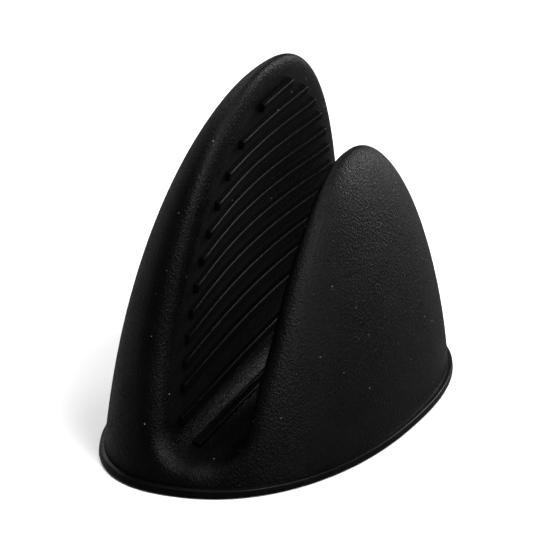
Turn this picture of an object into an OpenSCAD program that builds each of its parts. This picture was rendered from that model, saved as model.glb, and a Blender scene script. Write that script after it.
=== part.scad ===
// Pinch mitt of moulded silicone: a tall finger pocket and a shorter thumb pocket rise from
// one oval mouth, with a ribbed valley between them that flexes so that the hand can pinch.
// X is the pinch direction (fingers at -X, thumb at +X), Y runs along the valley, Z points up.
// The origin is the centre of the mouth, in the plane of the rim.

/* [Mouth] */
// Length of the oval mouth, along the valley
mouth_length = 126; // [120:1:132]
// Depth of the oval mouth, in the pinch direction
mouth_depth = 78.2; // [76:0.2:82]
// Exponent of the oval: 2 is an ellipse, more is squarer
mouth_power = 2.28; // [2.2:0.02:2.36]
// Thickness of the wall
wall = 2.2; // [1.8:0.1:2.6]

/* [Pockets] */
// Height that the finger pocket's dome closes at
finger_height = 105.7; // [102:0.1:108]
// How far the finger pocket's tip leans over the valley
finger_lean = 17.7; // [16.5:0.1:18.5]
// Height that the thumb pocket's dome closes at
thumb_height = 88.6; // [86:0.2:91]
// How far the thumb pocket leans away from the valley
thumb_lean = 13.7; // [13:0.1:14.5]
// Radius that rounds each pocket's edges, well above the rim
edge_radius = 10.6; // [9.6:0.1:11.4]
// Radius that rounds the same edges beside the rim
low_edge_radius = 5.8; // [5:0.1:6.4]

/* [Valley] */
// Height of the valley's floor above the rim
valley_floor = 7.6; // [7.2:0.1:8.4]
// Radius between the valley's floor and its sides
valley_radius = 8.2; // [7.6:0.1:8.6]
// Depth of the hollow in the finger pocket's gripping face
finger_dish = 5.1; // [4:0.1:5.4]
// Depth of the hollow in the thumb pocket's gripping face
thumb_dish = 2.9; // [2:0.1:3.6]
// Middle of the soft band that bends
band_middle = 6; // [5.8:0.1:6.2]
// Width of the soft band that bends
band_width = 8; // [7:0.5:8]

/* [Ribs] */
// Distance between ribs
rib_pitch = 6.1; // [5.8:0.1:6.3]
// Width of a rib
rib_width = 2.7; // [2.2:0.1:3]
// Rise of a rib for each millimetre along the valley
rib_tilt = 0.085; // [0:0.005:0.09]
// How far a rib stands out of its face
rib_height = 1.5; // [1:0.1:1.8]
// Height of the top rib on the finger pocket
finger_rib_top = 88.5; // [86:0.1:89]
// Number of evenly spaced ribs on the finger pocket
finger_ribs = 12; // [6:1:12]
// Height of the lone rib near the valley's floor
floor_rib = 10.1; // [10:0.1:10.6]
// Rise of the lone rib for each millimetre along the valley
floor_rib_tilt = 0.036; // [0:0.002:0.038]
// How much further down than the even spacing the finger pocket's lowest rib lies
low_rib_drop = 2.4; // [0:0.1:2.6]
// Half the length of the lowest ribs
finger_rib_reach = 51; // [48:1:52]
// Height of the top rib on the thumb pocket
thumb_rib_top = 66.2; // [64:0.1:67]
// Number of ribs on the thumb pocket
thumb_ribs = 9; // [4:1:9]
// Half the length of the thumb pocket's lowest ribs
thumb_rib_reach = 42; // [38:1:43]

/* [Rim bead] */
// Height of the bead round the mouth
bead_height = 2.2; // [1.8:0.1:3.2]
// How far the bead stands out of the wall
bead_out = 1.3; // [0.8:0.1:1.8]

/* [Hidden] */

half_length = mouth_length / 2;
half_depth = mouth_depth / 2;
silicone = [0.07, 0.07, 0.075];

// Steps of the surfaces: along the valley's floor, up each end of it, round the back, up the
// side, over a tip, and across the band
web_steps = 20;
gusset_steps = 4;
bead_rows = 2;
valley_steps = web_steps + 2 * gusset_steps;
back_steps = 30;
rise_steps = 12;
tip_steps = 4;
band_steps = 3;
// Where each gusset ends, in degrees up from the rim
gusset_angle = 42;
// Angle of the edge between a pocket's gripping face and its back, at the shoulder
corner = 47;

// A pocket: side, dome height, height exponent, depth exponent, lean, lean exponent,
// millimetres per unit of the dome's field, face position [at 20 mm up, slope, curve],
// dish depth, and the tip: [shoulder height, sideways and upward reach beyond it]
FINGER = [-1, finger_height, 2.21, 2.01, finger_lean, 0.99, 45, [-3.75, 4.4, 5.35],
          finger_dish, [0.836 * finger_height, 4.1, 9.1]];
THUMB = [1, thumb_height, 1.53, 1.63, thumb_lean, 1.335, 40, [15.98, 3.09, 0.5],
         thumb_dish, [0.75 * thumb_height, -0.9, 8.6]];

function clamp(v, lo, hi) = max(lo, min(hi, v));
function unit(v) = v / norm(v);
function smooth_max(a, b, r) =
    let(h = clamp(0.5 + 0.5 * (a - b) / r, 0, 1))
    b * (1 - h) + a * h + r * h * (1 - h);

// Field of a pocket's dome: below 0 inside, in millimetres near the surface
function dome(k, x, y, z) =
    let(s = max(z, 0) / k[1],
        axis_x = k[4] * pow(min(s, 1.3), k[5]),
        across = pow(abs(x - axis_x) / half_depth, mouth_power),
        along = pow(abs(y) / half_length, mouth_power),
        rho = pow(across + along + 1e-12, 1 / mouth_power),
        sum = pow(rho, k[3]) + pow(s, k[2]))
    k[6] * (pow(sum, 2 / (k[2] + k[3])) - 1);

// X of a pocket's gripping face
function face_x(k, y, z) =
    let(t = (z - 20) / 67,
        s = clamp((z - valley_floor) / (k[1] - valley_floor - 4), 0, 1),
        reach = 0.95 * half_length * sqrt(max(0.02, 1.02 - pow(max(z, 0) / k[1], 1.6))),
        w = max(0, 1 - pow(y / reach, 2)),
        hollow = k[8] * pow(w * 4 * s * (1 - s), 1.27))
    k[7][0] + k[7][1] * t + k[7][2] * t * abs(t) + k[0] * hollow;

// Field of the open valley beside a pocket: below 0 in the open
function valley(side, z) =
    let(below = valley_floor + valley_radius - z)
    below < 0 ? side : norm([max(side + valley_radius, 0), below]) - valley_radius;

// Radius of a pocket's rounded edges at height z
function edge(z) =
    let(u = clamp((z - 5) / 35, 0, 1))
    low_edge_radius + (edge_radius - low_edge_radius) * u * u * (3 - 2 * u);

// Field of one half of the mitt, with its rounded edges
function half_skin(k, p) =
    let(side = k[0] * (p[0] - face_x(k, p[1], p[2])))
    smooth_max(dome(k, p[0], p[1], p[2]), -valley(side, p[2]), edge(p[2]));

// Field of the soft band, which runs smoothly from one half into the other
function band_skin(p) =
    let(s = clamp((p[0] - band_middle) / band_width + 0.5, 0, 1),
        w = s * s * (3 - 2 * s),
        side = max(face_x(FINGER, p[1], p[2]) - p[0], p[0] - face_x(THUMB, p[1], p[2])),
        body = (1 - w) * dome(FINGER, p[0], p[1], p[2]) + w * dome(THUMB, p[0], p[1], p[2]))
    smooth_max(body, -valley(side, p[2]), edge(p[2]));

function skin(k, p) = k == 0 ? band_skin(p) : half_skin(k, p);

// Where the ray from point a along d leaves the skin, between distances lo and hi
function leave(k, a, d, lo, hi, n = 22) =
    n == 0 ? a + 0.5 * (lo + hi) * d
           : let(mid = 0.5 * (lo + hi))
             skin(k, a + mid * d) < 0 ? leave(k, a, d, mid, hi, n - 1)
                                      : leave(k, a, d, lo, mid, n - 1);

function normal(k, p) =
    let(e = 0.02)
    unit([skin(k, p + [e, 0, 0]) - skin(k, p - [e, 0, 0]),
          skin(k, p + [0, e, 0]) - skin(k, p - [0, e, 0]),
          skin(k, p + [0, 0, e]) - skin(k, p - [0, 0, e])]);

// The inner point under p. A point on a cut plane keeps to that plane.
function inner(k, p, in_x = false, in_z = false) =
    let(n = normal(k, p))
    p - wall * unit([in_x ? 0 : n[0], n[1], in_z ? 0 : n[2]]);

// X of the plane where a half meets the soft band
function cut_x(k) = band_middle + k[0] * band_width / 2;

// Direction of arch point j, in degrees up from the front rim: the end points, which the
// gussets take, are spread apart from those over the floor
function arch_angle(j) =
    j < gusset_steps ? gusset_angle * j / gusset_steps :
    j > valley_steps - gusset_steps ? 180 - arch_angle(valley_steps - j) :
    gusset_angle + (180 - 2 * gusset_angle) * (j - gusset_steps) / web_steps;

// Point j of the arch that crosses the valley at x, from the front rim to the rear. The first
// points at each end are level with the bead's rows.
function arch(k, x, j) =
    let(a = arch_angle(j),
        row = min(j, valley_steps - j),
        level = row <= bead_rows,
        z = bead_height * row / bead_rows)
    leave(k, [x, 0, level ? z : 0],
          [0, -half_length * (level ? sign(90 - a) : cos(a)),
           level ? 0 : valley_floor * sin(a)], 0.6, 1.8);
function foot(k, j) = arch(k, cut_x(k), j);

// Share of the mouth that a pocket's dome still covers at height z, and the dome's middle
function dome_share(k, z) = pow(max(0.01, 1 - pow(z / k[1], k[2])), 1 / k[3]);
function dome_middle(k, z) = k[4] * pow(z / k[1], k[5]);

// Section of a pocket at height z: [middle in X, half its depth, half its length]
function section(k, z) =
    let(share = dome_share(k, z),
        mid = dome_middle(k, z),
        low = clamp(z / 20, 0, 1),
        front = cut_x(k) * (1 - low) + face_x(k, 0, z) * low,
        back = mid + k[0] * half_depth * share,
        off = max(0, k[0] * (front - mid)) / half_depth)
    [(front + back) / 2, abs(back - front) / 2,
     half_length * sqrt(max(0.02, share * share - off * off))];

// Angle of a point round its section, in the section's own stretched plan: 0 faces the
// valley, 90 the rear and 180 the back
function round_angle(k, p) =
    let(c = section(k, p[2]))
    atan2(p[1] / c[2], -k[0] * (p[0] - c[0]) / c[1]);

// Outer point at angle a and height z
function side_point(k, a, z) =
    let(c = section(k, z))
    leave(k, [c[0], 0, z], [-k[0] * c[1] * cos(a), c[2] * sin(a), 0], 0, 2.2);

// Outer point over the tip, t degrees up from the shoulder
function tip_point(k, a, t) =
    let(z = k[9][0],
        c = section(k, z))
    leave(k, [c[0], 0, z],
          [-k[0] * c[1] * cos(a) * cos(t) + k[9][1] * sin(t), c[2] * sin(a) * cos(t),
           k[9][2] * sin(t)], 0, 2.2);

// Outer points above foot b, whose angle goes from a0 at the foot to a1 at the shoulder
function rise(k, a0, a1, b) =
    [for (i = [1:rise_steps])
        let(u = i / rise_steps)
        side_point(k, a0 + (a1 - a0) * pow(u, 0.6), b[2] + (k[9][0] - b[2]) * pow(u, 1.4)),
     for (i = [1:tip_steps]) tip_point(k, a1, 90 * i / tip_steps)];

// Angle round the back, from one corner at angle c to the other, for w from -1 to 1
function back_angle(c, w) = 180 + (180 - c) * w;

// A column is [outer points, inner points]. Its foot lies on the cut plane if on_cut.
function column(k, a0, a1, b, on_cut) =
    let(up = rise(k, a0, a1, b))
    [concat([b], up), [inner(k, b, on_cut), for (p = up) inner(k, p)]];

function valley_wall(k) =
    [for (j = [gusset_steps:valley_steps - gusset_steps])
        let(b = foot(k, j))
        column(k, round_angle(k, b), corner * (2 * (j - gusset_steps) / web_steps - 1), b, true)];

function back_wall(k) =
    let(b = foot(k, valley_steps - gusset_steps),
        c = round_angle(k, b))
    [for (j = [0:back_steps])
        let(w = 2 * j / back_steps - 1,
            a = back_angle(c, w),
            end = j == 0 || j == back_steps)
        column(k, a, back_angle(corner, w),
               j == 0 ? b : end ? foot(k, gusset_steps) : side_point(k, a, b[2]), end)];

// Columns of the cuff, whose rows are level with the gusset's points
function cuff_column(k, j) =
    let(w = 2 * j / back_steps - 1,
        end = j == 0 || j == back_steps,
        outer = [for (i = [0:gusset_steps])
            let(b = foot(k, valley_steps - i))
            j == 0 ? b : end ? foot(k, i)
                   : side_point(k, back_angle(round_angle(k, b), w), b[2])])
    [outer, [for (i = [0:gusset_steps]) inner(k, outer[i], end, i == 0)]];
function cuff_wall(k) = [for (j = [0:back_steps]) cuff_column(k, j)];

// Soft band: columns along the arch, each with points from the finger half to the thumb half
function band_side(m) = m == 0 ? FINGER : m == band_steps ? THUMB : 0;
function band_column(j) =
    let(end = j == 0 || j == valley_steps,
        outer = [for (m = [0:band_steps])
            arch(band_side(m), cut_x(FINGER) + band_width * m / band_steps, j)])
    [outer, [for (m = [0:band_steps])
        inner(band_side(m), outer[m], m == 0 || m == band_steps, end)]];

// Signed volume of a mesh, and its faces turned so that they point outward
function turning(p, f) = sum_up([for (t = f) p[t[0]] * cross(p[t[1]], p[t[2]])]);
function sum_up(v, i = 0, s = 0) = i == len(v) ? s : sum_up(v, i + 1, s + v[i]);
function outward(p, f) = turning(p, f) < 0 ? f : [for (t = f) [t[0], t[2], t[1]]];

// A closed solid through rings that all have the same even number of points, where point
// k faces point n - 1 - k across the wall. With apex, the last ring closes to one edge.
// Faces that cross the wall are split from the outer point of the lower ring at both ends, so
// that walls which meet there share the same triangles.
module loft(rings, apex = false) {
    n = len(rings[0]);
    last = len(rings) - 1;
    points = [for (r = rings) each r];
    at = function(i, k) apex && i == last ? i * n + (k < n / 2 ? 0 : n - 1) : i * n + k % n;
    sides = [for (i = [0:last - 1], k = [0:n - 1])
        let(a = at(i, k), b = at(i, (k + 1) % n), c = at(i + 1, (k + 1) % n), d = at(i + 1, k))
        each k < n - 1 ? [[a, b, c], [a, c, d]] : [[a, b, d], [b, c, d]]];
    caps = [for (i = apex ? [0] : [0, last], k = [0:n / 2 - 2])
        let(a = at(i, k), b = at(i, k + 1), c = at(i, n - 2 - k), d = at(i, n - 1 - k))
        each i == 0 ? [[a, c, b], [a, d, c]] : [[a, b, c], [a, c, d]]];
    whole = [for (t = concat(sides, caps)) if (t[0] != t[1] && t[1] != t[2] && t[0] != t[2]) t];
    polyhedron(points = points, faces = outward(points, whole), convexity = 8);
}

// Rings across a wall of columns, from the foot up
function rings(columns) =
    [for (i = [0:len(columns[0][0]) - 1])
        concat([for (c = columns) c[0][i]],
               [for (j = [len(columns) - 1:-1:0]) columns[j][1][i]])];

// Rings along a band between columns j0 and j1
function band_rings(j0, j1) =
    [for (j = [j0:j1])
        let(c = band_column(j))
        concat(c[0], [for (m = [band_steps:-1:0]) c[1][m]])];

// Bead round the rim: rings of a rounded section on the wall's outer points, given from the
// foot up
function bead_ring(k, wall_points, in_x) =
    let(foot = wall_points[0],
        n = normal(k, foot),
        out = bead_out * unit([in_x ? 0 : n[0], n[1], 0]),
        rise = wall_points[bead_rows] - foot)
    concat([for (i = [0:bead_rows]) wall_points[i]],
           [for (s = [[0.65, 1], [1, 0.8], [1, 0.5], [1, 0.16], [0.6, 0]])
               foot + s[0] * out + s[1] * rise]);

module half_bead(k) {
    loft([for (j = [0:back_steps])
        bead_ring(k, cuff_column(k, j)[0], j == 0 || j == back_steps)]);
}

// Bead across the band at the front rim, or at the rear rim
module band_bead(rear) {
    loft([for (i = [0:band_steps])
        let(m = rear ? band_steps - i : i,
            k = band_side(m),
            x = cut_x(FINGER) + band_width * m / band_steps)
        bead_ring(k, [for (r = [0:bead_rows]) arch(k, x, rear ? valley_steps - r : r)],
                  m == 0 || m == band_steps)]);
}

// Section of a rib at y and height z, rooted in a gripping face
function rib_ring(k, y, z, tilt) =
    let(h = z + tilt * y,
        x = face_x(k, y, h),
        p = leave(k, [x + 6 * k[0], y, h], [-k[0], 0, 0], 0, 12),
        g = normal(k, p),
        n = unit([g[0], 0, g[2]]),
        t = unit(cross([0, 1, 0], n)))
    [for (s = [[0.5, -0.3], [0.5, 0.72], [0.3, 1], [-0.3, 1], [-0.5, 0.72], [-0.5, -0.3]])
        p + s[0] * rib_width * t + s[1] * rib_height * n];

function rib_reach(top, widest, z) = widest * pow(max(0, 1 - pow(z / top, 2)), 0.55);

module rib(k, z, reach, tilt = rib_tilt) {
    steps = max(6, 2 * ceil(reach / 7));
    loft([for (i = [0:steps]) rib_ring(k, reach * (2 * i / steps - 1), z, tilt)]);
}

module finger_back_shell() {
    color(silicone) loft(rings(back_wall(FINGER)), apex = true);
}

module finger_grip_panel() {
    color(silicone) loft(rings(valley_wall(FINGER)), apex = true);
}

module finger_grip_ribs() {
    color(silicone)
        for (i = [0:finger_ribs - 1]) {
            z = finger_rib_top - i * rib_pitch - (i == finger_ribs - 1 ? low_rib_drop : 0);
            rib(FINGER, z, rib_reach(finger_rib_top + 1.9, finger_rib_reach, z));
        }
    color(silicone) rib(FINGER, floor_rib, finger_rib_reach - 1, floor_rib_tilt);
}

module finger_cuff() {
    color(silicone) loft(rings(cuff_wall(FINGER)));
}

module finger_rim_bead() {
    color(silicone) half_bead(FINGER);
}

module valley_web() {
    color(silicone) loft(band_rings(gusset_steps, valley_steps - gusset_steps));
}

module front_gusset() {
    color(silicone) loft(band_rings(0, gusset_steps));
}

module rear_gusset() {
    color(silicone) loft(band_rings(valley_steps - gusset_steps, valley_steps));
}

module front_rim_bead() {
    color(silicone) band_bead(false);
}

module rear_rim_bead() {
    color(silicone) band_bead(true);
}

module thumb_back_shell() {
    color(silicone) loft(rings(back_wall(THUMB)), apex = true);
}

module thumb_grip_panel() {
    color(silicone) loft(rings(valley_wall(THUMB)), apex = true);
}

module thumb_grip_ribs() {
    color(silicone)
        for (i = [0:thumb_ribs - 1]) {
            z = thumb_rib_top - i * rib_pitch;
            rib(THUMB, z, rib_reach(thumb_rib_top + 1.3, thumb_rib_reach, z));
        }
}

module thumb_cuff() {
    color(silicone) loft(rings(cuff_wall(THUMB)));
}

module thumb_rim_bead() {
    color(silicone) half_bead(THUMB);
}

finger_back_shell();
finger_grip_panel();
finger_grip_ribs();
finger_cuff();
finger_rim_bead();
valley_web();
front_gusset();
rear_gusset();
front_rim_bead();
rear_rim_bead();
thumb_back_shell();
thumb_grip_panel();
thumb_grip_ribs();
thumb_cuff();
thumb_rim_bead();
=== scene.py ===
import math

import bmesh
import bpy
import numpy as np
from mathutils import Matrix, Vector


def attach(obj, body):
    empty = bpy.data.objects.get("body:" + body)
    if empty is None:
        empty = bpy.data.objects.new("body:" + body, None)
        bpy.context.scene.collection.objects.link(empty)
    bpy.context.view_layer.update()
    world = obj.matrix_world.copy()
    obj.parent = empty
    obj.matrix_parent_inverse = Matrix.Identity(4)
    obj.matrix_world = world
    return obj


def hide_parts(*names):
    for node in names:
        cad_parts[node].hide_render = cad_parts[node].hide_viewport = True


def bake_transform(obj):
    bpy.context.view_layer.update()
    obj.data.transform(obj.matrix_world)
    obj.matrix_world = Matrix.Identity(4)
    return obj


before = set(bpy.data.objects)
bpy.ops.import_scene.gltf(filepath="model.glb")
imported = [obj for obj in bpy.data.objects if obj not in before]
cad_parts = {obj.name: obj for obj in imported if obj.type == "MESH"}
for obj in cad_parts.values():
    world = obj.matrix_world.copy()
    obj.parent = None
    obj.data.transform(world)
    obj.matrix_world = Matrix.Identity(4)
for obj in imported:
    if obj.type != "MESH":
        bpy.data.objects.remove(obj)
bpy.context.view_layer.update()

MM = 0.001

# ---------------------------------------------------------- sizes of the mitt, all in mm

HALF_LENGTH = 63.0
HALF_DEPTH = 39.1
MOUTH_POWER = 2.28
WALL = 2.2
EDGE_RADIUS = 10.6
LOW_EDGE_RADIUS = 5.8
VALLEY_FLOOR = 7.6
VALLEY_RADIUS = 8.2
BAND_MIDDLE = 6.0
BAND_WIDTH = 8.0

# from this height up, and over this span, the edges grow from the low radius to the full one
EDGE_START = 5.0
EDGE_SPAN = 35.0

# the height that a gripping face's place is given at, and the span that it slopes over
FACE_START = 20.0
FACE_SPAN = 67.0

# the dish in a gripping face: its half length at the rim as a share of the mitt's, the powers
# for its narrowing upward and for its depth, and how far below the dome's height it ends
DISH_LENGTH = 0.95
DISH_TAPER = 1.6
DISH_POWER = 1.27
DISH_END = 4.0

BEAD_HEIGHT = 2.2
BEAD_OUT = 1.3
BEAD_TOP_ROUND = 0.45
BEAD_FOOT_ROUND = 0.55

RIB_PITCH = 6.1
RIB_TILT = 0.085
RIB_WIDTH = 2.7
RIB_HEIGHT = 1.5
RIB_ROUND = 0.42
RIB_END = 0.35
RIB_TAPER = 0.55
FINGER_RIB_TOP = 88.5
FINGER_RIBS = 12
FINGER_RIB_REACH = 51.0
FINGER_RIBS_END = FINGER_RIB_TOP + 1.9
LOW_RIB_DROP = 2.4
FLOOR_RIB = 10.1
FLOOR_RIB_TILT = 0.036
THUMB_RIB_TOP = 66.2
THUMB_RIBS = 9
THUMB_RIB_REACH = 42.0
THUMB_RIBS_END = THUMB_RIB_TOP + 1.3

# A pocket: side of the valley, its dome's height and exponents, its lean over the valley,
# millimetres per unit of the dome's field, its face (x at FACE_START, slope, curve), its dish,
# and its tip (height that it starts at, then sideways and upward reach from there)
FINGER = dict(name="finger", body="finger_side", side=-1, height=105.7, up_power=2.21,
              out_power=2.01, lean=17.7, lean_power=0.99, unit=45.0, face=(-3.75, 4.4, 5.35),
              dish=5.1, shoulder=0.836 * 105.7, tip=(4.1, 9.1))
THUMB = dict(name="thumb", body="thumb_side", side=1, height=88.6, up_power=1.53,
             out_power=1.63, lean=13.7, lean_power=1.335, unit=40.0, face=(15.98, 3.09, 0.5),
             dish=2.9, shoulder=0.75 * 88.6, tip=(-0.9, 8.6))


# -------------------------------------------------------------------------- the mitt's skin

def smooth_max(a, b, r):
    h = np.clip(0.5 + 0.5 * (a - b) / r, 0, 1)
    return b * (1 - h) + a * h + r * h * (1 - h)


def dome(k, x, y, z):
    """Field of a pocket's dome: below 0 inside, in millimetres near the surface."""
    s = np.maximum(z, 0) / k["height"]
    axis = k["lean"] * np.minimum(s, 1.3) ** k["lean_power"]
    rho = (np.abs((x - axis) / HALF_DEPTH) ** MOUTH_POWER
           + np.abs(y / HALF_LENGTH) ** MOUTH_POWER + 1e-12) ** (1 / MOUTH_POWER)
    total = rho ** k["out_power"] + s ** k["up_power"]
    return k["unit"] * (total ** (2 / (k["up_power"] + k["out_power"])) - 1)


def face_x(k, y, z):
    """X of a pocket's gripping face, dish and all."""
    t = (z - FACE_START) / FACE_SPAN
    s = np.clip((z - VALLEY_FLOOR) / (k["height"] - VALLEY_FLOOR - DISH_END), 0, 1)
    up = (np.maximum(z, 0) / k["height"]) ** DISH_TAPER
    reach = DISH_LENGTH * HALF_LENGTH * np.sqrt(np.maximum(0.02, 1.02 - up))
    w = np.maximum(0, 1 - (y / reach) ** 2)
    a, b, c = k["face"]
    hollow = k["dish"] * (w * 4 * s * (1 - s)) ** DISH_POWER
    return a + b * t + c * t * np.abs(t) + k["side"] * hollow


def valley(side, z):
    """Field of the open valley, where side is the distance past a pocket's face."""
    below = VALLEY_FLOOR + VALLEY_RADIUS - z
    rounded = np.hypot(np.maximum(side + VALLEY_RADIUS, 0), below) - VALLEY_RADIUS
    return np.where(below < 0, side, rounded)


def edge_radius(z):
    u = np.clip((z - EDGE_START) / EDGE_SPAN, 0, 1)
    return LOW_EDGE_RADIUS + (EDGE_RADIUS - LOW_EDGE_RADIUS) * u * u * (3 - 2 * u)


def half_skin(k, p):
    x, y, z = np.moveaxis(p, -1, 0)
    side = k["side"] * (x - face_x(k, y, z))
    return smooth_max(dome(k, x, y, z), -valley(side, z), edge_radius(z))


def band_skin(p):
    """Skin of the soft band, which runs smoothly from one half into the other."""
    x, y, z = np.moveaxis(p, -1, 0)
    s = np.clip((x - BAND_MIDDLE) / BAND_WIDTH + 0.5, 0, 1)
    w = s * s * (3 - 2 * s)
    side = np.maximum(face_x(FINGER, y, z) - x, x - face_x(THUMB, y, z))
    body = (1 - w) * dome(FINGER, x, y, z) + w * dome(THUMB, x, y, z)
    return smooth_max(body, -valley(side, z), edge_radius(z))


def skin(k, p):
    """Field of the skin of half k, or of the band where k is None."""
    return band_skin(p) if k is None else half_skin(k, p)


BISECTIONS = 40


def leave(k, a, d, lo, hi):
    """Points where the rays from a along d leave the skin, between lo and hi times d."""
    a, d = np.broadcast_arrays(np.asarray(a, float), np.asarray(d, float))
    lo = np.full(a.shape[:-1], float(lo))
    hi = np.full(a.shape[:-1], float(hi))
    for _ in range(BISECTIONS):
        mid = (lo + hi) / 2
        within = skin(k, a + mid[..., None] * d) < 0
        lo = np.where(within, mid, lo)
        hi = np.where(within, hi, mid)
    return a + ((lo + hi) / 2)[..., None] * d


def unit(v):
    return v / np.linalg.norm(v, axis=-1, keepdims=True)


def normal(k, p):
    """Outward direction of the skin at points p."""
    e = 0.02
    axes = np.eye(3) * e
    return unit(np.stack([skin(k, p + a) - skin(k, p - a) for a in axes], -1))


def cut_x(k):
    return BAND_MIDDLE + k["side"] * BAND_WIDTH / 2


# ------------------------------------------------------- grids of points over the skin

# steps along the valley's floor, up each end of it, round the back, up the side, over a tip
# and across the band
WEB_STEPS = 120
GUSSET_STEPS = 16
VALLEY_STEPS = WEB_STEPS + 2 * GUSSET_STEPS
BACK_STEPS = 180
RISE_STEPS = 120
TIP_STEPS = 22
BAND_STEPS = 12

# the lowest steps of the gussets and cuffs are as high as the bead
BEAD_ROWS = 8

# degrees: where each gusset ends, and the edge between a pocket's face and its back
GUSSET_ANGLE = 42.0
CORNER = 47.0

# how far a ray may run, as a share of the distance that section() expects
RAY_REACH = 2.2


def xyz(x, y, z):
    return np.stack(np.broadcast_arrays(x, y, z), -1).astype(float)


def arch(k, x, j):
    """Points of the arch that crosses the valley at x, from the front rim to the rear. The
    first ones at each end are level with the bead's rows."""
    j = np.asarray(j, float)
    row = np.minimum(j, VALLEY_STEPS - j)
    end = -np.where(j > VALLEY_STEPS / 2, -1.0, 1.0)
    a = np.radians(np.where(row < GUSSET_STEPS, GUSSET_ANGLE * row / GUSSET_STEPS,
                            GUSSET_ANGLE + (180 - 2 * GUSSET_ANGLE)
                            * (row - GUSSET_STEPS) / WEB_STEPS))
    level = row <= BEAD_ROWS
    start = xyz(x, 0 * a, np.where(level, BEAD_HEIGHT * row / BEAD_ROWS, 0))
    d = xyz(0, end * HALF_LENGTH * np.where(level, 1, np.cos(a)),
            np.where(level, 0, VALLEY_FLOOR * np.sin(a)))
    return leave(k, start, d, 0.6, 1.8)


def foot(k, j):
    """The arch along the cut between half k and the band."""
    return arch(k, cut_x(k), j)


def section(k, z):
    """Middle, half depth and half length of half k at height z, roughly."""
    z = np.asarray(z, float)
    s = z / k["height"]
    share = np.maximum(0.01, 1 - s ** k["up_power"]) ** (1 / k["out_power"])
    mid = k["lean"] * s ** k["lean_power"]
    low = np.clip(z / FACE_START, 0, 1)
    front = cut_x(k) * (1 - low) + face_x(k, 0, z) * low
    back = mid + k["side"] * HALF_DEPTH * share
    off = np.maximum(0, k["side"] * (front - mid)) / HALF_DEPTH
    length = HALF_LENGTH * np.sqrt(np.maximum(0.02, share * share - off * off))
    return (front + back) / 2, np.abs(back - front) / 2, length


def round_angle(k, p):
    """Angle of points round half k's section, from the middle of its gripping face."""
    mid, deep, long = section(k, p[..., 2])
    return np.degrees(np.arctan2(p[..., 1] / long, -k["side"] * (p[..., 0] - mid) / deep))


def side_point(k, a, z):
    """Points of the skin at angle a and height z."""
    mid, deep, long = section(k, z)
    a = np.radians(a)
    return leave(k, xyz(mid, 0, z),
                 xyz(-k["side"] * deep * np.cos(a), long * np.sin(a), 0), 0, RAY_REACH)


def tip_point(k, a, t):
    """Points over the tip at angle a, t degrees up from the shoulder."""
    mid, deep, long = section(k, k["shoulder"])
    a, t = np.radians(a), np.radians(t)
    over, up = k["tip"]
    d = xyz(-k["side"] * deep * np.cos(a) * np.cos(t) + over * np.sin(t),
            long * np.sin(a) * np.cos(t), up * np.sin(t))
    return leave(k, xyz(mid, 0, k["shoulder"] + 0 * a), d, 0, RAY_REACH)


def rise(k, a0, a1, base):
    """Outer points above each foot in base, from angle a0 there to a1 at the shoulder. The rows
    crowd towards the rim, and turn most near it."""
    rows = [base]
    for i in range(1, RISE_STEPS + 1):
        u = i / RISE_STEPS
        z = base[:, 2] + (k["shoulder"] - base[:, 2]) * u ** 1.4
        rows.append(side_point(k, a0 + (a1 - a0) * u ** 0.6, z))
    for i in range(1, TIP_STEPS + 1):
        rows.append(tip_point(k, a1, np.full(len(base), 90 * i / TIP_STEPS)))
    return np.array(rows)


def back_angle(c, w):
    """Angle round the back at w, from -1 at the rear edge to 1 at the front one."""
    return 180 + (180 - c) * w


def valley_grid(k):
    j = np.arange(GUSSET_STEPS, VALLEY_STEPS - GUSSET_STEPS + 1)
    base = foot(k, j)
    return rise(k, round_angle(k, base),
                CORNER * (2 * (j - GUSSET_STEPS) / WEB_STEPS - 1), base)


def back_grid(k):
    w = 2 * np.arange(BACK_STEPS + 1) / BACK_STEPS - 1
    rear = foot(k, [VALLEY_STEPS - GUSSET_STEPS])[0]
    front = foot(k, [GUSSET_STEPS])[0]
    a = back_angle(round_angle(k, rear), w)
    base = side_point(k, a, np.full(len(w), rear[2]))
    base[0], base[-1] = rear, front
    return rise(k, a, back_angle(CORNER, w), base)


def cuff_grid(k):
    w = 2 * np.arange(BACK_STEPS + 1) / BACK_STEPS - 1
    rows = []
    for i in range(GUSSET_STEPS + 1):
        rear = foot(k, [VALLEY_STEPS - i])[0]
        row = side_point(k, back_angle(round_angle(k, rear), w), np.full(len(w), rear[2]))
        row[0], row[-1] = rear, foot(k, [i])[0]
        rows.append(row)
    return np.array(rows)


def band_grid(j0, j1):
    j = np.arange(j0, j1 + 1)
    rows = []
    for m in range(BAND_STEPS + 1):
        k = FINGER if m == 0 else THUMB if m == BAND_STEPS else None
        x = cut_x(FINGER) + BAND_WIDTH * m / BAND_STEPS
        rows.append(arch(k, x, j))
    return np.array(rows)


# ------------------------------------------------------------------------- mesh making

def mesh_object(name, points, faces, normals=None):
    """A mesh from points in mm and faces. normals, if given, has one row for each corner."""
    mesh = bpy.data.meshes.new(name)
    mesh.from_pydata((np.asarray(points) * MM).tolist(), [], [list(f) for f in faces])
    mesh.validate()
    mesh.polygons.foreach_set("use_smooth", [True] * len(mesh.polygons))
    if normals is not None and len(normals) == len(mesh.loops):
        mesh.normals_split_custom_set(np.asarray(normals).tolist())
    # each point's share of painted shade between the finger panel's ribs, read by the materials
    shade = mesh.attributes.new("ribbed", "FLOAT", "POINT")
    shade.data.foreach_set("value", ribbed_share(np.asarray(points)))
    obj = bpy.data.objects.new(name, mesh)
    bpy.context.scene.collection.objects.link(obj)
    return obj


def rib_reach(end, widest, z):
    """Half the length of a rib at height z."""
    return widest * np.maximum(0, 1 - (z / end) ** 2) ** RIB_TAPER


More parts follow.
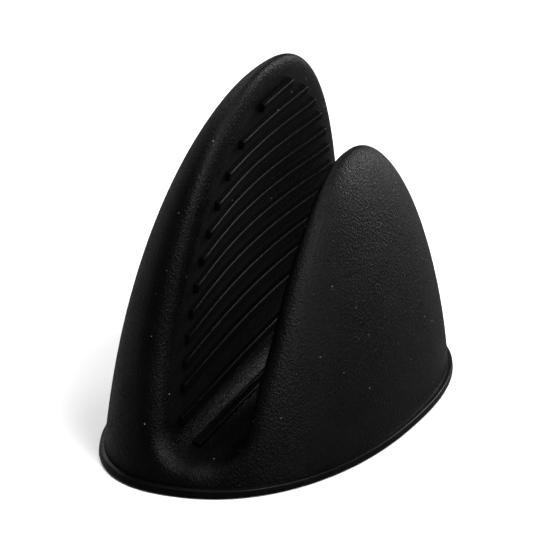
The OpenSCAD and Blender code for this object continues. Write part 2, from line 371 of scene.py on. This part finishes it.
def ribbed_share(p):
    """How far each point lies within the finger pocket's field of ribs, from 0 to 1: the share of
    shade painted between the ribs. The field runs on a little past the ribs' front ends."""
    y = p[:, 1]
    z = p[:, 2] - RIB_TILT * y
    lowest = FINGER_RIB_TOP - (FINGER_RIBS - 1) * RIB_PITCH - LOW_RIB_DROP
    below_top = np.clip((FINGER_RIB_TOP + 1 - z) / 3, 0, 1)
    above_lowest = np.clip((z - lowest) / 2, 0, 1)
    past_end = np.where(y < 0, 7.0, 0.5)
    reach = rib_reach(FINGER_RIBS_END, FINGER_RIB_REACH, np.maximum(z, 0)) + past_end
    beside = np.clip((reach - np.abs(y)) / 4, 0, 1)
    return below_top * above_lowest * beside


def turned_out(points, faces):
    """Whether the closed surface's faces point outward."""
    volume = 0.0
    for f in faces:
        for a, b in zip(f[1:-1], f[2:]):
            volume += np.dot(points[f[0]], np.cross(points[a], points[b]))
    return volume > 0


OUTER, INNER, RIM = 0, 1, 2


def without_repeats(face):
    """The face's points without neighbours that are the same point."""
    kept = []
    for v in face:
        if not kept or kept[-1] != v:
            kept.append(v)
    if len(kept) > 1 and kept[0] == kept[-1]:
        kept.pop()
    return kept


def wall_faces(rows, cols, closed_tip):
    """Faces between two layers of rows by cols points, and the part that each belongs to. With
    a closed tip, each layer's last row is one point."""

    def at(i, j, layer):
        if closed_tip and i == rows - 1:
            j = 0
        return (layer * rows + i) * cols + j

    found = []
    for i in range(rows - 1):
        for j in range(cols - 1):
            found.append((OUTER, (at(i, j, 0), at(i, j + 1, 0),
                                  at(i + 1, j + 1, 0), at(i + 1, j, 0))))
            found.append((INNER, (at(i, j, 1), at(i + 1, j, 1),
                                  at(i + 1, j + 1, 1), at(i, j + 1, 1))))
    last = rows - 1
    for j in range(cols - 1):
        found.append((RIM, (at(0, j, 0), at(0, j, 1), at(0, j + 1, 1), at(0, j + 1, 0))))
        if not closed_tip:
            found.append((RIM, (at(last, j, 0), at(last, j + 1, 0),
                                at(last, j + 1, 1), at(last, j, 1))))
    end = cols - 1
    for i in range(rows - 1):
        found.append((RIM, (at(i, 0, 0), at(i + 1, 0, 0), at(i + 1, 0, 1), at(i, 0, 1))))
        found.append((RIM, (at(i, end, 0), at(i, end, 1), at(i + 1, end, 1), at(i + 1, end, 0))))
    faces, parts = [], []
    for part, face in found:
        face = without_repeats(face)
        if len(set(face)) > 2:
            faces.append(face)
            parts.append(part)
    return faces, parts


def flat_normal(points, face):
    a, b, c = points[face[0]], points[face[1]], points[face[2]]
    n = np.cross(b - a, c - b)
    size = np.linalg.norm(n)
    return n / size if size > 1e-12 else np.array([0.0, 0.0, 1.0])


def wall_object(name, grid, kinds, closed_tip=False, edge_planes=()):
    """A wall with a skin over it: grid is the outer points, row by row, and the inner ones lie
    one wall thickness under them. kinds gives the half, or None for the band, of each row.
    edge_planes lists (row or column slice, flat in X, flat in Z) for the points on cut planes."""
    rows, cols = grid.shape[:2]
    n = np.stack([normal(k, row) for k, row in zip(kinds, grid)])
    drop = n.copy()
    for where, in_x, in_z in edge_planes:
        keep = np.array([0.0 if in_x else 1.0, 1.0, 0.0 if in_z else 1.0])
        drop[where] = unit(drop[where] * keep)
    inside = grid - WALL * drop
    inside[..., 2] = np.maximum(inside[..., 2], 0)
    points = np.concatenate([grid.reshape(-1, 3), inside.reshape(-1, 3)])
    smooth = np.concatenate([n.reshape(-1, 3), -drop.reshape(-1, 3)])
    faces, parts = wall_faces(rows, cols, closed_tip)

    used = np.zeros(len(points), bool)
    for face in faces:
        used[face] = True
    index = np.cumsum(used) - 1
    points, smooth = points[used], smooth[used]
    faces = [[int(index[v]) for v in face] for face in faces]
    if not turned_out(points, faces):
        faces = [face[::-1] for face in faces]

    corners = []
    for face, part in zip(faces, parts):
        if part == RIM:
            corners += [flat_normal(points, face)] * len(face)
        else:
            corners += [smooth[v] for v in face]
    return mesh_object(name, points, faces, corners)


def half_walls(k):
    """Half k's gripping panel, back shell and cuff, by node."""
    name = k["name"]
    count = 1 + RISE_STEPS + TIP_STEPS
    foot_row = [((0, slice(None)), True, False)]
    panel = wall_object(f"{name}_grip_panel_skin", valley_grid(k), [k] * count, True, foot_row)
    ends = [((0, 0), True, False), ((0, -1), True, False)]
    shell = wall_object(f"{name}_back_shell_skin", back_grid(k), [k] * count, True, ends)
    flats = [((slice(None), 0), True, False), ((slice(None), -1), True, False),
             ((0, slice(None)), False, True), ((0, 0), True, True), ((0, -1), True, True)]
    cuff = wall_object(f"{name}_cuff_skin", cuff_grid(k), [k] * (GUSSET_STEPS + 1), False, flats)
    return {f"{name}_grip_panel": panel, f"{name}_back_shell": shell, f"{name}_cuff": cuff}


def band_walls():
    """The band's web and its two gussets, by node."""
    kinds = [FINGER] + [None] * (BAND_STEPS - 1) + [THUMB]
    sides = [((0, slice(None)), True, False), ((-1, slice(None)), True, False)]
    rear = VALLEY_STEPS - GUSSET_STEPS
    spans = {"front_gusset": (0, GUSSET_STEPS), "valley_web": (GUSSET_STEPS, rear),
             "rear_gusset": (rear, VALLEY_STEPS)}
    made = {}
    for name, (j0, j1) in spans.items():
        flats = list(sides)
        for j, col in ((0, 0), (VALLEY_STEPS, -1)):
            if j in (j0, j1):
                flats += [((slice(None), col), False, True), ((0, col), True, True),
                          ((-1, col), True, True)]
        made[name] = wall_object(f"{name}_skin", band_grid(j0, j1), kinds, False, flats)
    return made


SHARP_ANGLE = math.radians(50)


def tube_object(name, rings):
    """A closed solid through rings of points, all of one count, with flat ends."""
    count, size = rings.shape[:2]
    points = rings.reshape(-1, 3)
    faces = [tuple(range(size))[::-1],
             tuple(range((count - 1) * size, count * size))]
    for i in range(count - 1):
        for j in range(size):
            m = (j + 1) % size
            faces.append((i * size + j, i * size + m, (i + 1) * size + m, (i + 1) * size + j))
    if not turned_out(points, faces):
        faces = [f[::-1] for f in faces]
    obj = mesh_object(name, points, faces)
    obj.data.set_sharp_from_angle(angle=SHARP_ANGLE)
    return obj


def joined(name, objects):
    """One object from several."""
    built = bmesh.new()
    for o in objects:
        built.from_mesh(o.data)
        bpy.data.objects.remove(o)
    mesh = bpy.data.meshes.new(name)
    built.to_mesh(mesh)
    built.free()
    mesh.polygons.foreach_set("use_smooth", [True] * len(mesh.polygons))
    mesh.set_sharp_from_angle(angle=SHARP_ANGLE)
    obj = bpy.data.objects.new(name, mesh)
    bpy.context.scene.collection.objects.link(obj)
    return obj


# ---------------------------------------------------------------------------- the bead

def arc(cx, cy, r, a0, a1, steps):
    """Points of a circle's arc from a0 to a1 degrees."""
    a = np.radians(np.linspace(a0, a1, steps + 1))
    return [(cx + r * math.cos(t), cy + r * math.sin(t)) for t in a]


def bead_profile():
    """The bead's outer section from the top of the wall side down to the bottom, as (out, up)
    in mm."""
    top = arc(BEAD_OUT - 0.05 - BEAD_TOP_ROUND, BEAD_HEIGHT - BEAD_TOP_ROUND, BEAD_TOP_ROUND,
              90, 0, 6)
    foot_part = arc(BEAD_OUT - BEAD_FOOT_ROUND, BEAD_FOOT_ROUND, BEAD_FOOT_ROUND, 0, -90, 6)
    return np.array([(0.15, BEAD_HEIGHT - 0.12)] + top + foot_part + [(0.35, 0.0)])


def bead_rings(k_of, wall_points, flat):
    """Sections of the bead on wall_points[row, column]. k_of gives a column's half, and flat
    marks the columns on cut planes."""
    profile = bead_profile()
    rings = []
    for c in range(wall_points.shape[1]):
        w = wall_points[:BEAD_ROWS + 1, c]
        n = normal(k_of(c), w[0][None])[0]
        out = unit(np.array([0.0 if flat[c] else n[0], n[1], 0.0]))
        rise_v = (w[BEAD_ROWS] - w[0]) / BEAD_HEIGHT
        outer = w[0] + profile[:, :1] * out + profile[:, 1:] * rise_v
        rings.append(np.concatenate([w, outer]))
    return np.array(rings)


def half_bead(k):
    grid = cuff_grid(k)
    flat = [c in (0, grid.shape[1] - 1) for c in range(grid.shape[1])]
    return tube_object(f"{k['name']}_rim_bead_skin", bead_rings(lambda c: k, grid, flat))


def band_bead(name, rear):
    sides = band_grid(0, VALLEY_STEPS)
    rows = sides[:, ::-1] if rear else sides
    grid = np.moveaxis(rows[:, :BEAD_ROWS + 1], 0, 1)
    kinds = [FINGER] + [None] * (BAND_STEPS - 1) + [THUMB]
    flat = [k is not None for k in kinds]
    return tube_object(name, bead_rings(lambda c: kinds[c], grid, flat))


# ---------------------------------------------------------------------------- the ribs

# where a ray that looks for a rib's face starts, in mm behind it, and how far it may run
RIB_RAY_START = 6
RIB_RAY_REACH = 12


def rib_profile():
    """Section of a rib as (across, up) in mm: steep sides and a flat crest with round edges."""
    half, r = RIB_WIDTH / 2, RIB_ROUND
    right = [(half, -0.3), (half - 0.02, 0.1)] + arc(half - 0.1 - r, RIB_HEIGHT - r, r, 5, 90, 5)
    crest = [(x, RIB_HEIGHT) for x in (0.5, 0.25, -0.25, -0.5)]
    left = [(-x, z) for x, z in right[::-1]]
    return np.array(right + crest + left)


def painted_crest_shade_share(profile):
    """1 on a rib's crest and on its foot, 0 on its two rounded edges: the share of painted shade,
    which leaves the edges as lit lines.
    """
    across, up = np.abs(profile[:, 0]), profile[:, 1]
    return np.clip(np.where(up > RIB_HEIGHT - 0.01, (0.8 - across) / 0.3,
                            (RIB_HEIGHT - 0.45 - up) / 0.3), 0, 1)


def rib_object(name, k, z, reach, tilt=RIB_TILT):
    """One rib on half k's face, z high in the middle, with rounded ends reach from it."""
    inner_run = np.linspace(-reach + RIB_END, reach - RIB_END, max(12, int(reach * 1.6)))
    t = np.linspace(0, 90, 6)[:-1]
    ends = RIB_END * np.cos(np.radians(t))
    shrink = RIB_END * (1 - np.sin(np.radians(t)))
    y = np.concatenate([-reach + RIB_END - ends, inner_run, reach - RIB_END + ends[::-1]])
    inset = np.concatenate([shrink, np.zeros(len(inner_run)), shrink[::-1]])
    z = z + tilt * y
    x = face_x(k, y, z)
    p = leave(k, xyz(x + RIB_RAY_START * k["side"], y, z), xyz(-k["side"], 0 * y, 0),
              0, RIB_RAY_REACH)
    n = unit(normal(k, p) * np.array([1.0, 0.0, 1.0]))
    across = unit(np.cross([0.0, 1.0, 0.0], n))
    profile = rib_profile()
    half = RIB_WIDTH / 2
    rings = []
    for i in range(len(y)):
        s = profile[:, 0] * (half - inset[i]) / half
        h = np.where(profile[:, 1] > 0.3, profile[:, 1] - inset[i], profile[:, 1])
        rings.append(p[i] + s[:, None] * across[i] + h[:, None] * n[i])
    obj = tube_object(name, np.array(rings))
    # painted shade on the ribs: their crests' middles and their feet are painted dark, so the
    # rounded edges show as lit lines
    obj.data.attributes["ribbed"].data.foreach_set(
        "value", np.tile(painted_crest_shade_share(profile), len(y)))
    return obj


def finger_ribs():
    made = []
    for i in range(FINGER_RIBS):
        z = FINGER_RIB_TOP - i * RIB_PITCH
        if i == FINGER_RIBS - 1:
            z -= LOW_RIB_DROP
        made.append(rib_object(f"rib_{i}", FINGER, z,
                               rib_reach(FINGER_RIBS_END, FINGER_RIB_REACH, z)))
    made.append(rib_object("rib_floor", FINGER, FLOOR_RIB, FINGER_RIB_REACH - 1,
                           FLOOR_RIB_TILT))
    return joined("finger_grip_ribs_skin", made)


def thumb_ribs():
    made = []
    for i in range(THUMB_RIBS):
        z = THUMB_RIB_TOP - i * RIB_PITCH
        made.append(rib_object(f"rib_{i}", THUMB, z,
                               rib_reach(THUMB_RIBS_END, THUMB_RIB_REACH, z)))
    return joined("thumb_grip_ribs_skin", made)


# ---------------------------------------------------------------------------- material

SPECULAR = 0.075
SPECULAR_RIBS = 0.04
# painted shade: the near-black painted between the panel's ribs and on the ribs' crests and feet
PAINTED_SHADE_BLACK = (0.0001, 0.0001, 0.0001)
BLACK_DEEP = (0.0006, 0.0006, 0.0006)
BLACK_DRY = (0.0012, 0.0012, 0.0012)
DUST = (0.1, 0.098, 0.095)
SPECK_SPACING_MM = 3.0
SPECK_RADIUS_MM = 0.24
PATCH_MM = 14.0
MOTTLE_MM = 9.0
DULL_ROUGHNESS = 0.95


def silicone(name, grain_mm, grain_depth_mm, roughness, speck_share, specular,
             painted_shade_strength=0.0):
    """Near-black moulded silicone: fine leathery grain, uneven gloss and a few dust specks.
    speck_share is the share of cells with a speck. The last argument sets how dark and dull the
    painted shade is where the point attribute marks it: the panel's rib gaps, the ribs' crests."""
    mat = bpy.data.materials.new(name)
    mat.use_nodes = True
    nt = mat.node_tree
    nodes, links = nt.nodes, nt.links
    shader = nodes["Principled BSDF"]
    shader.inputs["Specular IOR Level"].default_value = specular
    shader.inputs["IOR"].default_value = 1.43
    coords = nodes.new("ShaderNodeTexCoord").outputs["Object"]

    def noise(size_mm, detail, rough=0.5):
        n = nodes.new("ShaderNodeTexNoise")
        n.inputs["Scale"].default_value = 1 / (size_mm * MM)
        n.inputs["Detail"].default_value = detail
        n.inputs["Roughness"].default_value = rough
        links.new(coords, n.inputs["Vector"])
        return n.outputs["Fac"]

    def remap(value, lo, hi, a, b):
        m = nodes.new("ShaderNodeMapRange")
        m.inputs["From Min"].default_value = lo
        m.inputs["From Max"].default_value = hi
        m.inputs["To Min"].default_value = a
        m.inputs["To Max"].default_value = b
        links.new(value, m.inputs["Value"])
        return m.outputs["Result"]

    def maths(op, a, b):
        m = nodes.new("ShaderNodeMath")
        m.operation = op
        for socket, v in zip(m.inputs, (a, b)):
            if isinstance(v, (int, float)):
                socket.default_value = v
            else:
                links.new(v, socket)
        return m.outputs[0]

    def mix(factor, a, b):
        m = nodes.new("ShaderNodeMix")
        m.data_type = "RGBA"
        links.new(factor, m.inputs["Factor"])
        for socket, v in ((m.inputs[6], a), (m.inputs[7], b)):
            if isinstance(v, tuple):
                socket.default_value = (*v, 1)
            else:
                links.new(v, socket)
        return m.outputs[2]

    # dust: one tiny dot in some of the cells
    cells = nodes.new("ShaderNodeTexVoronoi")
    cells.inputs["Scale"].default_value = 1 / (SPECK_SPACING_MM * MM)
    links.new(coords, cells.inputs["Vector"])
    pick = nodes.new("ShaderNodeSeparateColor")
    links.new(cells.outputs["Color"], pick.inputs["Color"])
    size = maths("MULTIPLY", pick.outputs["Green"], SPECK_RADIUS_MM / SPECK_SPACING_MM)
    dot = maths("LESS_THAN", cells.outputs["Distance"], size)
    speck = maths("MULTIPLY", dot, maths("LESS_THAN", pick.outputs["Red"], speck_share))

    # colour: near black and faintly mottled, with painted shade where the point attribute marks
    # it: between the panel's ribs, and on the ribs' crests and feet
    base_colour = mix(remap(noise(MOTTLE_MM, 3), 0.35, 0.7, 0, 1), BLACK_DEEP, BLACK_DRY)
    ribbed = nodes.new("ShaderNodeAttribute")
    ribbed.attribute_name = "ribbed"
    painted_shade_amount = maths("MULTIPLY", ribbed.outputs["Fac"], painted_shade_strength)
    base_colour = mix(painted_shade_amount, base_colour, PAINTED_SHADE_BLACK)
    links.new(mix(speck, base_colour, DUST), shader.inputs["Base Color"])

    # roughness: uneven in patches and in fine grain, and dull between the ribs
    patch = remap(noise(PATCH_MM, 2), 0.35, 0.65, -0.05, 0.04)
    fine = remap(noise(grain_mm * 1.6, 2), 0.35, 0.65, -0.07, 0.07)
    gloss = maths("ADD", maths("ADD", patch, roughness), fine)
    dull = maths("MULTIPLY", maths("SUBTRACT", DULL_ROUGHNESS, gloss), painted_shade_amount)
    links.new(maths("ADD", gloss, dull), shader.inputs["Roughness"])

    # grain: fine uneven mould texture, with the dust standing on it
    height = maths("ADD", noise(grain_mm, 2.5, 0.6), maths("MULTIPLY", speck, 0.3))
    bump = nodes.new("ShaderNodeBump")
    bump.inputs["Strength"].default_value = 1.0
    bump.inputs["Distance"].default_value = grain_depth_mm * MM
    links.new(height, bump.inputs["Height"])
    links.new(bump.outputs["Normal"], shader.inputs["Normal"])
    return mat


MATTE = silicone("silicone_matte", 0.6, 0.3, 0.36, 0.6, SPECULAR)
# the panel's material is the matte one with shade painted between its ribs
PANEL = silicone("silicone_panel", 0.6, 0.3, 0.36, 0.6, SPECULAR, painted_shade_strength=0.97)
# the ribs' material paints shade on their crests' middles and their feet
RIBBED = silicone("silicone_ribs", 0.5, 0.08, 0.36, 0.3, SPECULAR_RIBS, painted_shade_strength=0.9)
BEADED = silicone("silicone_bead", 0.5, 0.08, 0.36, 0.3, SPECULAR)


# ------------------------------------------------------------------------ build and rig


def dress(obj, node, material):
    """obj as the visual of a CAD node, in its material."""
    obj.data.materials.clear()
    obj.data.materials.append(material)
    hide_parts(node)
    return obj


for k in (FINGER, THUMB):
    for node, obj in half_walls(k).items():
        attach(dress(obj, node, PANEL if node == "finger_grip_panel" else MATTE), k["body"])
    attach(dress(half_bead(k), f"{k['name']}_rim_bead", BEADED), k["body"])

for node, obj in band_walls().items():
    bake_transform(dress(obj, node, MATTE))

for node, rear in (("front_rim_bead", False), ("rear_rim_bead", True)):
    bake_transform(dress(band_bead(f"{node}_skin", rear), node, BEADED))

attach(dress(finger_ribs(), "finger_grip_ribs", RIBBED), "finger_side")
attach(dress(thumb_ribs(), "thumb_grip_ribs", RIBBED), "thumb_side")


# -------------------------------------------------------------------- floor, light, camera

FLOOR_HALF = 4.0
FLOOR_DROP = 0.0002
FLOOR_COLOUR = (0.85, 0.85, 0.85)


def plain_floor():
    """A pale floor just under the rim. Glossy rays miss it, so that the black silicone does
    not mirror its glare."""
    half = FLOOR_HALF
    mesh = bpy.data.meshes.new("floor")
    mesh.from_pydata([(-half, -half, 0), (half, -half, 0), (half, half, 0), (-half, half, 0)],
                     [], [(0, 1, 2, 3)])
    obj = bpy.data.objects.new("floor", mesh)
    obj.location = (0, 0, -FLOOR_DROP)
    bpy.context.scene.collection.objects.link(obj)
    mat = bpy.data.materials.new("floor_white")
    mat.use_nodes = True
    shader = mat.node_tree.nodes["Principled BSDF"]
    shader.inputs["Base Color"].default_value = (*FLOOR_COLOUR, 1)
    shader.inputs["Roughness"].default_value = 0.9
    shader.inputs["Specular IOR Level"].default_value = 0.1
    mesh.materials.append(mat)
    obj.visible_glossy = False


CAMERA_RISE = math.radians(21.935)
CAMERA_TURN = math.radians(63.551)
CAMERA_ROLL = math.radians(-3.14)
CAMERA_DISTANCE = 1.2
SENSOR_MM = 36.0
LENS_MM = 292.451

# where the camera looks, in mm to the right of the rim's centre and above it, across its view
LOOK_RIGHT = -1.0797
LOOK_ABOVE = 35.369

# level directions seen from the camera, and up
RIGHT = Vector((math.sin(CAMERA_TURN), math.cos(CAMERA_TURN), 0))
AWAY = Vector((-math.cos(CAMERA_TURN), math.sin(CAMERA_TURN), 0))
UP = Vector((0, 0, 1))


def add_camera():
    """A camera CAMERA_DISTANCE from the rim's centre, at the photograph's angle."""
    forward = AWAY * math.cos(CAMERA_RISE) - UP * math.sin(CAMERA_RISE)
    level_up = AWAY * math.sin(CAMERA_RISE) + UP * math.cos(CAMERA_RISE)
    right = RIGHT * math.cos(CAMERA_ROLL) + level_up * math.sin(CAMERA_ROLL)
    up = level_up * math.cos(CAMERA_ROLL) - RIGHT * math.sin(CAMERA_ROLL)
    aim = forward * CAMERA_DISTANCE + (right * LOOK_RIGHT + up * LOOK_ABOVE) * MM
    aim.normalize()
    x_axis = (right - aim * right.dot(aim)).normalized()
    y_axis = x_axis.cross(aim)
    data = bpy.data.cameras.new("camera")
    data.sensor_width = SENSOR_MM
    data.lens = LENS_MM
    data.clip_start, data.clip_end = 0.05, 50
    obj = bpy.data.objects.new("camera", data)
    turn = Matrix((x_axis, y_axis, -aim)).transposed().to_4x4()
    obj.matrix_world = Matrix.Translation(-forward * CAMERA_DISTANCE) @ turn
    bpy.context.scene.collection.objects.link(obj)
    bpy.context.scene.camera = obj


LIGHT_AIM = Vector((0, 0, 0.05))


def softbox(name, where, size, energy):
    """A square softbox that looks at the mitt; where is (to the right, away from the camera,
    up) in metres."""
    light = bpy.data.lights.new(name, "AREA")
    light.shape = "SQUARE"
    light.size = size
    light.energy = energy
    obj = bpy.data.objects.new(name, light)
    place = RIGHT * where[0] + AWAY * where[1] + UP * where[2]
    obj.location = place
    obj.rotation_mode = "QUATERNION"
    obj.rotation_quaternion = (LIGHT_AIM - place).to_track_quat("-Z", "Y")
    obj.visible_camera = False
    bpy.context.scene.collection.objects.link(obj)


def studio():
    world = bpy.data.worlds.new("studio")
    bpy.context.scene.world = world
    world.use_nodes = True
    back = world.node_tree.nodes["Background"]
    back.inputs["Color"].default_value = (1, 1, 1, 1)
    back.inputs["Strength"].default_value = 0.2
    softbox("overhead", (-0.2, 0.3, 2.4), 1.8, 44)
    softbox("key", (0.68, -0.88, 1.15), 0.65, 36)
    softbox("right_strip", (1.25, -0.7, 0.35), 0.45, 10)
    softbox("right_back", (1.25, 1.05, 0.45), 0.7, 16)
    softbox("behind", (-0.45, 1.7, 1.1), 0.9, 6)


plain_floor()
add_camera()
studio()
bpy.context.scene.view_settings.view_transform = "Standard"
